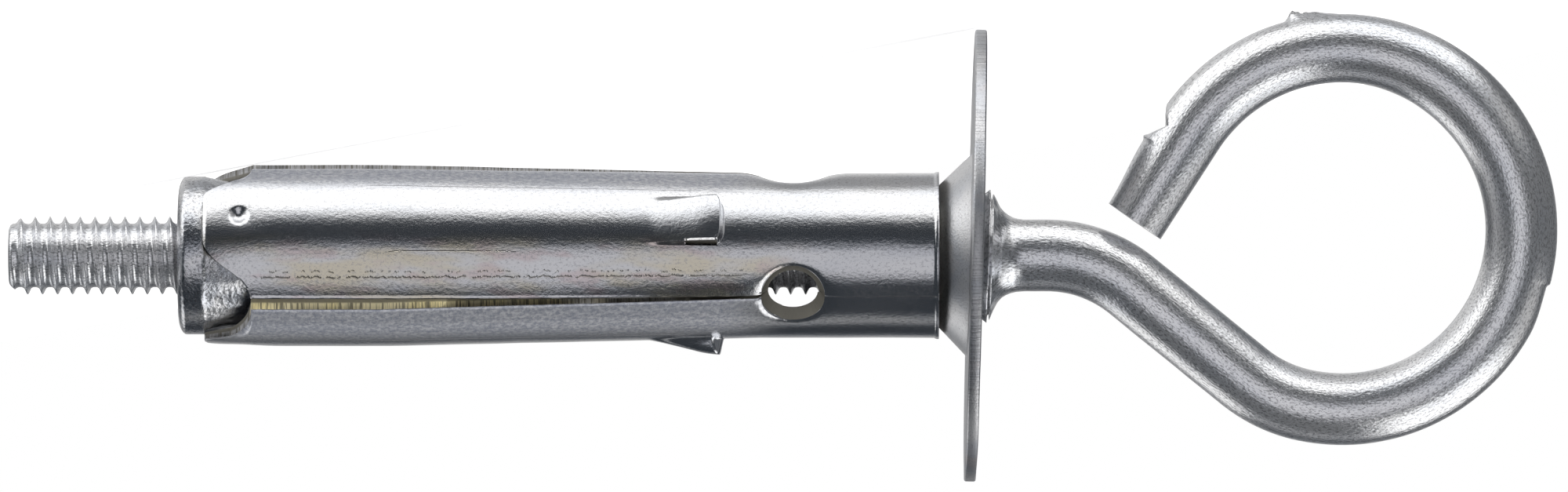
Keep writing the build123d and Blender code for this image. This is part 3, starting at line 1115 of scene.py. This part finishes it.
# Cone nut: a turned head with a rounded face, and a coarse cone that spreads the legs
cone = {
    "face": -52.85,
    "headRadius": 5.27,
    "headLength": 1.85,
    "domeLength": 0.55,
    "flatRadius": 4.1,
    "length": 14.2,
    "flankLength": 2.9,
    "flankRadius": 4.62,
    "tailRadius": 4.25,
    "bore": 2.67,
    "boreEdge": 0.25,
    "skin": 0.02,
    "ridgeDepth": 0.10,
    "strokeDepth": 0.025,
    "steps": 180,
}


def makeNut(finish):
    bm = bmesh.new()
    face = cone["face"]
    head = cone["headRadius"]
    flat = cone["flatRadius"]
    bore = cone["bore"]
    profile = [(face + 0.3, bore), (face, bore + cone["boreEdge"]), (face, flat)]
    for share in spread(0, 1, 1 / 9)[1:]:
        angle = share * pi / 2
        place = face + cone["domeLength"] * (1 - cos(angle))
        profile.append((place, flat + (head - flat) * sin(angle)))
    neck = face + cone["headLength"]
    foot = neck + cone["flankLength"]
    end = face + cone["length"]
    profile += [(x, head) for x in spread(face + cone["domeLength"] + 0.15, neck - 0.08, 0.25)]
    for x in places(spread(neck, foot, 0.12), spread(foot, end, 0.5)):
        fall = min((x - neck) / cone["flankLength"], 1)
        rest = max((x - foot) / (end - foot), 0)
        radius = head - (head - cone["flankRadius"]) * fall
        profile.append((x, radius - (cone["flankRadius"] - cone["tailRadius"]) * rest))
    profile += [(end, bore + 0.3), (end - 0.3, bore)]
    spinProfile(bm, profile, cone["steps"], closed=True)
    bmesh.ops.remove_doubles(bm, verts=bm.verts, dist=mergeDistance)
    for vert in bm.verts:
        reach = axisReach(vert.co)
        if vert.co.x > neck - 0.02 and reach > cone["tailRadius"] - 0.02:
            # Ridges run down the flank, a little askew, with rough strokes between them
            turn = atan2(vert.co.y, vert.co.z)
            askew = turn * 5.5 + vert.co.x * 0.22
            ridge = abs(noise.noise(Vector((vert.co.x * 0.25, askew, 0))))
            stroke = noise.noise(Vector((vert.co.x * 6.0, turn * 8, 3)))
            sunk = cone["skin"] + cone["ridgeDepth"] * ridge + cone["strokeDepth"] * stroke
            vert.co.y *= (reach - sunk) / reach
            vert.co.z *= (reach - sunk) / reach
    bmesh.ops.recalc_face_normals(bm, faces=bm.faces)
    return laid(bm, "coneNut", "nut", "cone_nut", [finish])


makeEyeBolt(wireFinish())
makeWasher(washerFinish())
makeSleeve(sleeveFinish(), shearFinish())
makeNut(nutFinish())
print("pieces made")

# Studio: pale floor and soft light, seen as the photo sees it
studio = {
    "mmPerPixel": 1 / 19.08,
    "imageSize": (2000, 627),
    "imageCentre": (-12.40, 0.63),
    "distance": 1200.0,
    "sensor": 36.0,
    "floorSize": 3.0,
    "floorColour": (0.75, 0.75, 0.75),
    "floorGlow": 0.58,
}


def makeCamera():
    view = bpy.data.cameras.new("photoView")
    view.sensor_width = studio["sensor"]
    width = studio["imageSize"][0] * studio["mmPerPixel"]
    view.lens = studio["sensor"] * studio["distance"] / width
    view.clip_end = 20
    seen = bpy.data.objects.new("photoView", view)
    bpy.context.scene.collection.objects.link(seen)
    spot = Vector((*studio["imageCentre"], studio["distance"]))
    turned = lie.to_quaternion().to_matrix().to_4x4()
    seen.matrix_world = Matrix.Translation(lie @ spot) @ turned
    bpy.context.scene.camera = seen


def makeFloor():
    bm = bmesh.new()
    bmesh.ops.create_grid(bm, x_segments=1, y_segments=1, size=studio["floorSize"])
    mesh = bpy.data.meshes.new("floor")
    bm.to_mesh(mesh)
    bm.free()
    paint = bpy.data.materials.new("paleFloor")
    paint.use_nodes = True
    shader = paint.node_tree.nodes["Principled BSDF"]
    shader.inputs["Base Color"].default_value = (*studio["floorColour"], 1)
    shader.inputs["Roughness"].default_value = 0.8
    shader.inputs["Emission Color"].default_value = (1, 1, 1, 1)
    shader.inputs["Emission Strength"].default_value = studio["floorGlow"]
    mesh.materials.append(paint)
    floorPiece = bpy.data.objects.new("floor", mesh)
    bpy.context.scene.collection.objects.link(floorPiece)
    floorPiece.visible_glossy = False


def makeWorld():  # plain white air, which is also the background
    world = bpy.data.worlds.new("studioAir")
    bpy.context.scene.world = world
    world.use_nodes = True
    world.node_tree.nodes["Background"].inputs["Color"].default_value = (1, 1, 1, 1)


# The metal mirrors a dark studio tent with soft boxes round the camera. Each box is given by its
# angle round the view, 0 to the right and 90 up, its angle away from the camera, and its light.
# The four angles are where a box starts to glow, is bright, starts to fade and ends.
tent = {
    "radius": 0.6,
    "dark": 0.052,
    "clothColour": (0.76, 0.86, 1.0),
    "boxColour": (1.0, 1.0, 1.0),
    "cameraColour": (0.95, 0.95, 1.0),
    "boxes": [
        {"round": (38, 54, 150, 174), "away": (47, 62, 98, 110), "light": 1.45},
        {"round": (92, 118, 158, 176), "away": (92, 104, 150, 170), "light": 0.52},
        {"round": (40, 60, 96, 120), "away": (98, 110, 170, 190), "light": 0.30},
        {"round": (280, 294, 314, 332), "away": (44, 56, 106, 120), "light": 1.35},
        {"round": (312, 322, 340, 352), "away": (56, 66, 104, 120), "light": 0.35},
        {"round": (204, 218, 238, 250), "away": (88, 102, 128, 142), "light": 0.95},
        {"round": (16, 28, 40, 52), "away": (40, 50, 84, 96), "light": 0.30},
        {"round": (160, 174, 190, 206), "away": (60, 72, 104, 116), "light": 0.20},
        {"round": (232, 250, 290, 308), "away": (92, 99, 106, 113), "light": 0.27},
    ],
    "camera": {"low": 11, "inner": 20, "outer": 25, "light": 0.55},
    "behind": {"start": 140, "end": 165, "light": 0.42},
}


def makeTent():
    bm = bmesh.new()
    bmesh.ops.create_icosphere(bm, subdivisions=4, radius=tent["radius"])
    bmesh.ops.reverse_faces(bm, faces=bm.faces)
    mesh = bpy.data.meshes.new("softBoxTent")
    bm.to_mesh(mesh)
    bm.free()
    finish = Finish("tentCloth")
    spot = finish.coords()

    def component(axis):
        settings = {"operation": "DOT_PRODUCT"}
        unit = tuple(axis / tent["radius"])
        return finish.node("ShaderNodeVectorMath", settings, {0: spot, 1: unit}, out="Value")

    right = component(along)
    up = component(down)
    near = component(along.cross(down))
    away = near.math("ARCCOSINE") * (180 / pi)
    turned = up.math("ARCTAN2", right) * (180 / pi)
    aroundView = turned + 360 * turned.math("LESS_THAN", 0.0)
    behind = away.between(tent["behind"]["start"], tent["behind"]["end"])
    light = tent["dark"] + behind * tent["behind"]["light"]
    for box in tent["boxes"]:
        sides = []
        for way, edges in ((aroundView, box["round"]), (away, box["away"])):
            sides.append(way.between(edges[0], edges[1]) * (1 - way.between(edges[2], edges[3])))
        light = light + sides[0] * sides[1] * box["light"]
    low = radians(tent["camera"]["low"])
    aside = (near * cos(low) - up * sin(low)).math("ARCCOSINE") * (180 / pi)
    lens = 1 - aside.between(tent["camera"]["inner"], tent["camera"]["outer"])
    colour = finish.blend(light.between(0.05, 0.35), tent["clothColour"], tent["boxColour"])
    colour = finish.blend(lens, colour, tent["cameraColour"])
    light = light + lens * tent["camera"]["light"]
    glow = finish.node("ShaderNodeEmission", None, {"Color": colour, "Strength": light})
    finish.tree.links.new(glow.socket, finish.tree.nodes["Material Output"].inputs["Surface"])
    finish.material.cycles.emission_sampling = "NONE"
    mesh.materials.append(finish.material)
    cloth = bpy.data.objects.new("softBoxTent", mesh)
    bpy.context.scene.collection.objects.link(cloth)
    cloth.visible_camera = False
    cloth.visible_diffuse = False
    cloth.visible_transmission = False
    cloth.visible_shadow = False


makeCamera()
makeFloor()
makeWorld()
makeTent()
bpy.context.scene.view_settings.view_transform = "Standard"
print("studio set")
